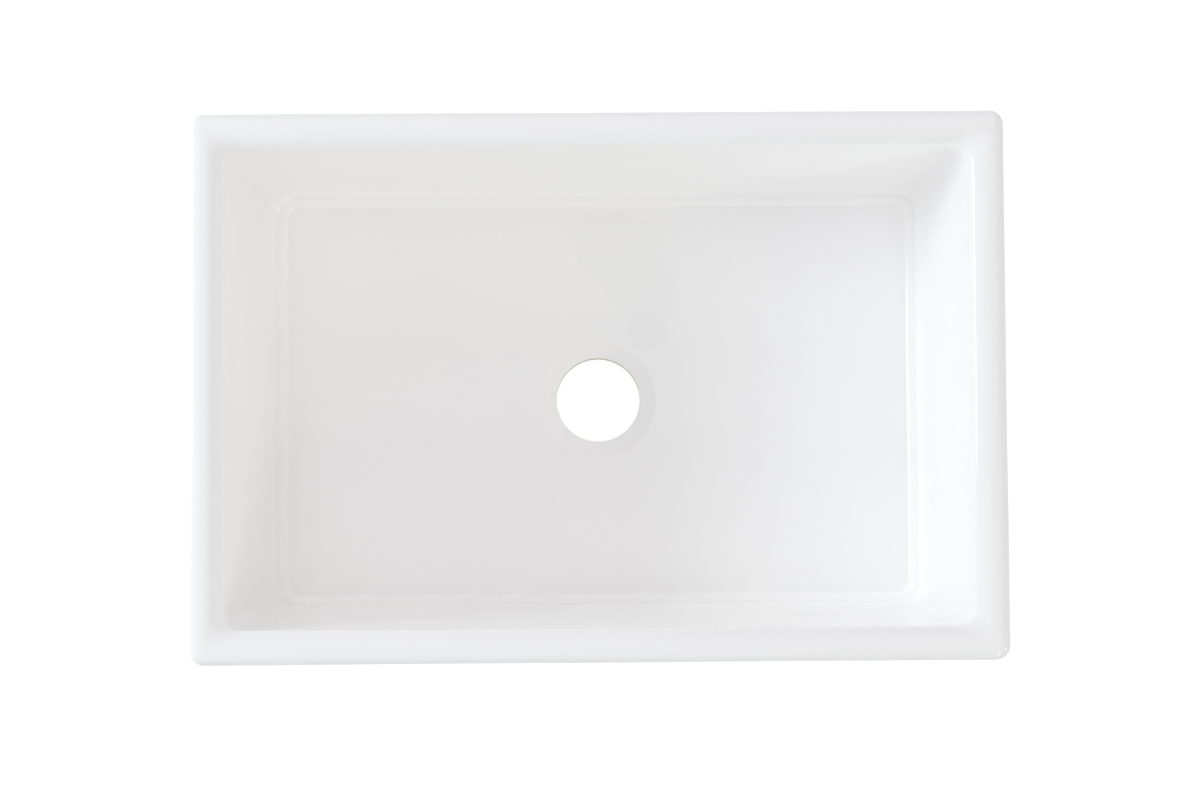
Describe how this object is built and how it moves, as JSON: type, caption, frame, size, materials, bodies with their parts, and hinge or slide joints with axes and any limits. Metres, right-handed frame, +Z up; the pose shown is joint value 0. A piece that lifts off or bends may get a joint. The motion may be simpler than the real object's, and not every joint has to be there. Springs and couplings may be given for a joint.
{
  "type": "butler sink",
  "caption": "Deep rectangular ceramic kitchen sink with straight sides, a rounded rim and an open waste outlet in a dished seat at the middle of the floor.",
  "frame": {"origin": "middle of the underside, on the plane that the foot stands on and on the outlet's axis", "axes": "+X along the sink's width, to the right as someone stands at the sink; +Y from the front to the back; +Z up, out of the basin"},
  "size_m": [0.762, 0.514, 0.254],
  "materials": {
    "bare_fireclay": "matt, unglazed buff fired clay",
    "white_slip": "matt fired white slip, seen only as an edge",
    "white_glaze": "glossy white glaze"
  },
  "bodies": {
    "root": {"fireclay_body": "bare_fireclay", "slip_coat": "white_slip", "glaze_coat": "white_glaze"}
  },
  "joints": []
}
